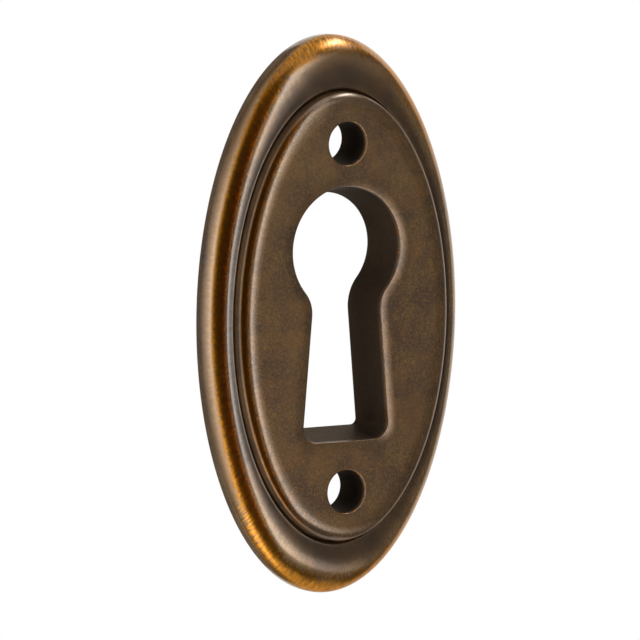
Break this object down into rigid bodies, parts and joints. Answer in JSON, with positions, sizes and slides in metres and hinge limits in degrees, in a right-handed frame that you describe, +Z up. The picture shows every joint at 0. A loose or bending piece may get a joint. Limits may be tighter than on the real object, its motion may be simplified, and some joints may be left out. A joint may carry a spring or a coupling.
{
  "type": "keyhole escutcheon",
  "caption": "Oval cast keyhole escutcheon with a rolled rim, a grooved raised centre, screw holes and a tapered keyhole, for a cabinet door or drawer front.",
  "frame": {"origin": "on the flat back, midway between the two screw holes", "axes": "+Z up along the plate's long axis, +Y out of the back towards the door, the front faces -Y, +X to the right as seen from the front"},
  "size_m": [0.024, 0.0037, 0.045],
  "materials": {
    "patinated_brass": "dark antique bronze patina over brass, rubbed back to gold along the rim, satin"
  },
  "bodies": {
    "root": {"escutcheon_plate": "patinated_brass"}
  },
  "joints": []
}
